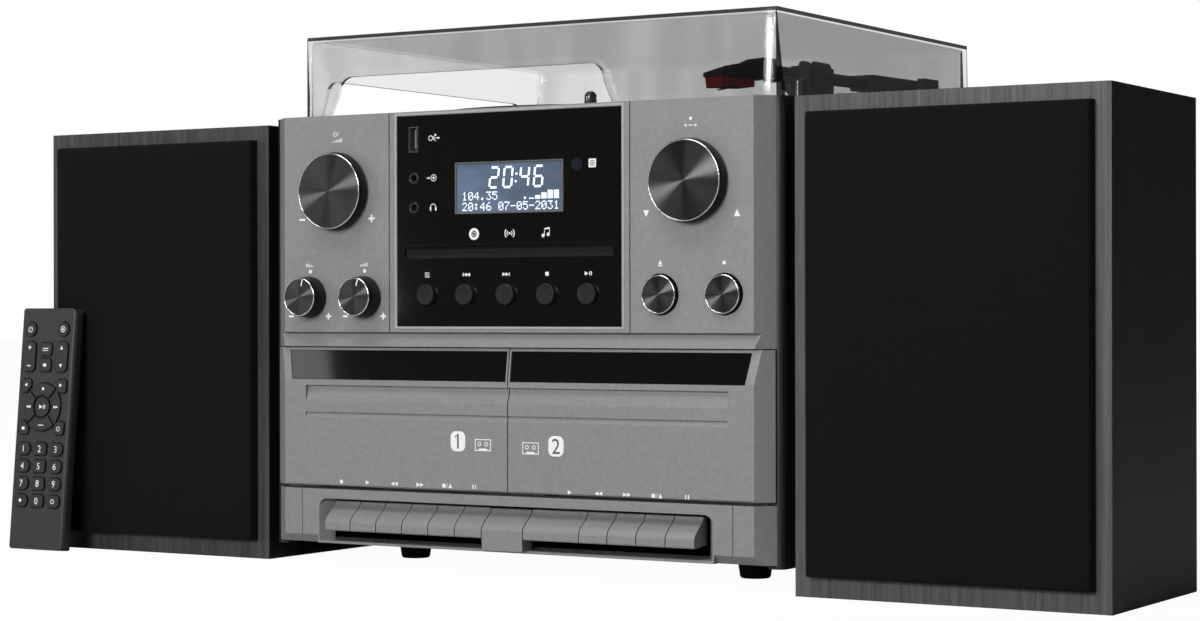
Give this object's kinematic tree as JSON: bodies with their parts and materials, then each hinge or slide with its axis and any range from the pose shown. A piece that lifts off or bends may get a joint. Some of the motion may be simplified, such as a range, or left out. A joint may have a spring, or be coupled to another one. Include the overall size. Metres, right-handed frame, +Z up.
{
  "type": "stereo music centre",
  "caption": "Stereo music centre: main unit with covered record player, disc slot, radio display and twin cassette decks, two box speakers and a remote.",
  "frame": {"origin": "centre of the whole set's footprint on the surface it stands on", "axes": "+X to the right as seen from the front, +Y to the back, +Z up"},
  "size_m": [0.6896, 0.315, 0.2995],
  "materials": {
    "black_case": "satin black cabinet film",
    "silver_front": "fine metallic grey moulding",
    "black_gloss": "black gloss acrylic",
    "display": "blue-grey display",
    "black_plastic": "black textured plastic",
    "rubber": "matt rubber",
    "board": "green board",
    "steel": "plain sheet steel",
    "transformer": "varnished core and winding",
    "belt": "thin rubber belt",
    "smoked_clear": "clear smoked acrylic",
    "platter_metal": "dark cast platter",
    "felt": "felt mat",
    "cartridge_red": "dark red plastic",
    "chrome": "bright plated",
    "knob_black": "spun black metal with a bright edge",
    "black_ash": "black ash film",
    "grille_cloth": "fine black cloth",
    "driver": "paper cone and steel basket",
    "remote_grey": "dark grey textured plastic",
    "key_rubber": "silicone keys"
  },
  "bodies": {
    "main_unit": {"cabinet": "black_case", "fascia": "silver_front", "display_panel": "black_gloss", "display_module": "display", "deck_plate": "black_plastic", "rear_panel": "black_plastic", "rear_sockets": "black_plastic", "feet": "rubber", "circuit_boards": "board", "power_transformer": "transformer", "disc_drive": "steel", "tape_transports": "steel", "drive_motor": "steel", "drive_belt": "belt", "tonearm_base": "black_plastic"},
    "dust_cover": {"dust_cover": "smoked_clear"},
    "platter": {"platter": "platter_metal", "slip_mat": "felt"},
    "tonearm_yoke": {"tonearm_yoke": "black_plastic"},
    "tonearm": {"tonearm": "black_plastic", "cartridge": "cartridge_red"},
    "cue_lever": {"cue_lever": "black_plastic"},
    "cue_lift": {"cue_lift": "chrome"},
    "speed_switch": {"speed_switch": "chrome"},
    "volume_plunger": {"volume_plunger": "steel"},
    "volume_knob": {"volume_knob": "knob_black"},
    "select_plunger": {"select_plunger": "steel"},
    "select_knob": {"select_knob": "knob_black"},
    "bass_knob": {"bass_knob": "knob_black"},
    "treble_knob": {"treble_knob": "knob_black"},
    "eject_button": {"eject_button": "knob_black"},
    "record_button": {"record_button": "knob_black"},
    "menu_button": {"menu_button": "black_plastic"},
    "back_button": {"back_button": "black_plastic"},
    "next_button": {"next_button": "black_plastic"},
    "stop_button": {"stop_button": "black_plastic"},
    "play_button": {"play_button": "black_plastic"},
    "deck_1_door": {"deck_1_door": "silver_front", "deck_1_window": "black_gloss"},
    "deck_2_door": {"deck_2_door": "silver_front", "deck_2_window": "black_gloss"},
    "key_1_record": {"key_1_record": "silver_front"},
    "key_1_play": {"key_1_play": "silver_front"},
    "key_1_rewind": {"key_1_rewind": "silver_front"},
    "key_1_forward": {"key_1_forward": "silver_front"},
    "key_1_stop": {"key_1_stop": "silver_front"},
    "key_1_pause": {"key_1_pause": "silver_front"},
    "key_2_play": {"key_2_play": "silver_front"},
    "key_2_rewind": {"key_2_rewind": "silver_front"},
    "key_2_forward": {"key_2_forward": "silver_front"},
    "key_2_stop": {"key_2_stop": "silver_front"},
    "key_2_pause": {"key_2_pause": "silver_front"},
    "left_speaker": {"left_speaker_case": "black_ash", "left_speaker_driver": "driver"},
    "left_grille": {"left_speaker_grille": "grille_cloth"},
    "right_speaker": {"right_speaker_case": "black_ash", "right_speaker_driver": "driver"},
    "right_grille": {"right_speaker_grille": "grille_cloth"},
    "remote": {"remote_case": "remote_grey", "remote_keypad": "key_rubber"}
  },
  "joints": [
    {"name": "dust_cover_hinge", "type": "hinge", "parent": "main_unit", "child": "dust_cover", "pos_m": [-0.0023, 0.1427, 0.258], "axis": [-1, 0, 0], "range_deg": [0, 80]},
    {"name": "platter_spin", "type": "hinge", "parent": "main_unit", "child": "platter", "pos_m": [-0.0403, 0.0155, 0.25], "axis": [0, 0, -1], "continuous": true},
    {"name": "tonearm_swing", "type": "hinge", "parent": "main_unit", "child": "tonearm_yoke", "pos_m": [0.1297, 0.1005, 0.2714], "axis": [0, 0, -1], "range_deg": [0, 40]},
    {"name": "tonearm_lift", "type": "hinge", "parent": "tonearm_yoke", "child": "tonearm", "pos_m": [0.1297, 0.1005, 0.2714], "axis": [-0.9973, 0.0732, 0], "range_deg": [0, 3]},
    {"name": "cue_lever_turn", "type": "hinge", "parent": "main_unit", "child": "cue_lever", "pos_m": [0.1442, -0.0435, 0.2556], "axis": [1, 0, 0], "range_deg": [0, 60]},
    {"name": "cue_lift_rise", "type": "slide", "parent": "main_unit", "child": "cue_lift", "axis": [0, 0, 1], "range_m": [0, 0.006]},
    {"name": "speed_switch_slide", "type": "slide", "parent": "main_unit", "child": "speed_switch", "axis": [1, 0, 0], "range_m": [0, 0.01]},
    {"name": "volume_press", "type": "slide", "parent": "main_unit", "child": "volume_plunger", "axis": [0, 1, 0], "range_m": [0, 0.001], "stiffness_N_per_m": 1500},
    {"name": "volume_turn", "type": "hinge", "parent": "volume_plunger", "child": "volume_knob", "pos_m": [-0.1157, -0.1345, 0.2093], "axis": [0, 1, 0], "continuous": true},
    {"name": "select_press", "type": "slide", "parent": "main_unit", "child": "select_plunger", "axis": [0, 1, 0], "range_m": [0, 0.001], "stiffness_N_per_m": 1500},
    {"name": "select_turn", "type": "hinge", "parent": "select_plunger", "child": "select_knob", "pos_m": [0.1114, -0.1345, 0.2093], "axis": [0, 1, 0], "continuous": true},
    {"name": "bass_turn", "type": "hinge", "parent": "main_unit", "child": "bass_knob", "pos_m": [-0.1347, -0.1345, 0.1502], "axis": [0, 1, 0], "range_deg": [-165, 135]},
    {"name": "treble_turn", "type": "hinge", "parent": "main_unit", "child": "treble_knob", "pos_m": [-0.0969, -0.1345, 0.1502], "axis": [0, 1, 0], "range_deg": [-165, 135]},
    {"name": "eject_press", "type": "slide", "parent": "main_unit", "child": "eject_button", "axis": [0, 1, 0], "range_m": [0, 0.0015], "stiffness_N_per_m": 600},
    {"name": "record_press", "type": "slide", "parent": "main_unit", "child": "record_button", "axis": [0, 1, 0], "range_m": [0, 0.0015], "stiffness_N_per_m": 600},
    {"name": "menu_press", "type": "slide", "parent": "main_unit", "child": "menu_button", "axis": [0, 1, 0], "range_m": [0, 0.0012], "stiffness_N_per_m": 400},
    {"name": "back_press", "type": "slide", "parent": "main_unit", "child": "back_button", "axis": [0, 1, 0], "range_m": [0, 0.0012], "stiffness_N_per_m": 400},
    {"name": "next_press", "type": "slide", "parent": "main_unit", "child": "next_button", "axis": [0, 1, 0], "range_m": [0, 0.0012], "stiffness_N_per_m": 400},
    {"name": "stop_press", "type": "slide", "parent": "main_unit", "child": "stop_button", "axis": [0, 1, 0], "range_m": [0, 0.0012], "stiffness_N_per_m": 400},
    {"name": "play_press", "type": "slide", "parent": "main_unit", "child": "play_button", "axis": [0, 1, 0], "range_m": [0, 0.0012], "stiffness_N_per_m": 400},
    {"name": "deck_1_door_hinge", "type": "hinge", "parent": "main_unit", "child": "deck_1_door", "pos_m": [-0.0773, -0.1291, 0.046], "axis": [1, 0, 0], "range_deg": [0, 20]},
    {"name": "deck_2_door_hinge", "type": "hinge", "parent": "main_unit", "child": "deck_2_door", "pos_m": [0.0727, -0.1291, 0.046], "axis": [1, 0, 0], "range_deg": [0, 20]},
    {"name": "key_1_record_press", "type": "hinge", "parent": "main_unit", "child": "key_1_record", "pos_m": [-0.0023, -0.0895, 0.03], "axis": [1, 0, 0], "range_deg": [0, 6], "stiffness_Nm_per_rad": 0.6, "springref_deg": -2.86},
    {"name": "key_1_play_press", "type": "hinge", "parent": "main_unit", "child": "key_1_play", "pos_m": [-0.0023, -0.0895, 0.03], "axis": [1, 0, 0], "range_deg": [0, 6], "stiffness_Nm_per_rad": 0.6, "springref_deg": -2.86},
    {"name": "key_1_rewind_press", "type": "hinge", "parent": "main_unit", "child": "key_1_rewind", "pos_m": [-0.0023, -0.0895, 0.03], "axis": [1, 0, 0], "range_deg": [0, 6], "stiffness_Nm_per_rad": 0.6, "springref_deg": -2.86},
    {"name": "key_1_forward_press", "type": "hinge", "parent": "main_unit", "child": "key_1_forward", "pos_m": [-0.0023, -0.0895, 0.03], "axis": [1, 0, 0], "range_deg": [0, 6], "stiffness_Nm_per_rad": 0.6, "springref_deg": -2.86},
    {"name": "key_1_stop_press", "type": "hinge", "parent": "main_unit", "child": "key_1_stop", "pos_m": [-0.0023, -0.0895, 0.03], "axis": [1, 0, 0], "range_deg": [0, 6], "stiffness_Nm_per_rad": 0.6, "springref_deg": -2.86},
    {"name": "key_1_pause_press", "type": "hinge", "parent": "main_unit", "child": "key_1_pause", "pos_m": [-0.0023, -0.0895, 0.03], "axis": [1, 0, 0], "range_deg": [0, 6], "stiffness_Nm_per_rad": 0.6, "springref_deg": -2.86},
    {"name": "key_2_play_press", "type": "hinge", "parent": "main_unit", "child": "key_2_play", "pos_m": [-0.0023, -0.0895, 0.03], "axis": [1, 0, 0], "range_deg": [0, 6], "stiffness_Nm_per_rad": 0.6, "springref_deg": -2.86},
    {"name": "key_2_rewind_press", "type": "hinge", "parent": "main_unit", "child": "key_2_rewind", "pos_m": [-0.0023, -0.0895, 0.03], "axis": [1, 0, 0], "range_deg": [0, 6], "stiffness_Nm_per_rad": 0.6, "springref_deg": -2.86},
    {"name": "key_2_forward_press", "type": "hinge", "parent": "main_unit", "child": "key_2_forward", "pos_m": [-0.0023, -0.0895, 0.03], "axis": [1, 0, 0], "range_deg": [0, 6], "stiffness_Nm_per_rad": 0.6, "springref_deg": -2.86},
    {"name": "key_2_stop_press", "type": "hinge", "parent": "main_unit", "child": "key_2_stop", "pos_m": [-0.0023, -0.0895, 0.03], "axis": [1, 0, 0], "range_deg": [0, 6], "stiffness_Nm_per_rad": 0.6, "springref_deg": -2.86},
    {"name": "key_2_pause_press", "type": "hinge", "parent": "main_unit", "child": "key_2_pause", "pos_m": [-0.0023, -0.0895, 0.03], "axis": [1, 0, 0], "range_deg": [0, 6], "stiffness_Nm_per_rad": 0.6, "springref_deg": -2.86},
    {"name": "left_speaker_slide", "type": "slide", "parent": "main_unit", "child": "left_speaker", "axis": [-1, 0, 0], "range_m": [0, 0.3]},
    {"name": "left_grille_pull", "type": "slide", "parent": "left_speaker", "child": "left_grille", "axis": [0, -1, 0], "range_m": [0, 0.02]},
    {"name": "right_speaker_slide", "type": "slide", "parent": "main_unit", "child": "right_speaker", "axis": [1, 0, 0], "range_m": [0, 0.3]},
    {"name": "right_grille_pull", "type": "slide", "parent": "right_speaker", "child": "right_grille", "axis": [0, -1, 0], "range_m": [0, 0.02]},
    {"name": "remote_lift", "type": "slide", "parent": "left_grille", "child": "remote", "axis": [0, 0, 1], "range_m": [0, 0.15]}
  ],
  "couplings": [
    {"joint": "cue_lever_turn", "follows": "tonearm_lift", "ratio": 19.99},
    {"joint": "cue_lift_rise", "follows": "tonearm_lift", "m_per_rad": 0.1145}
  ]
}
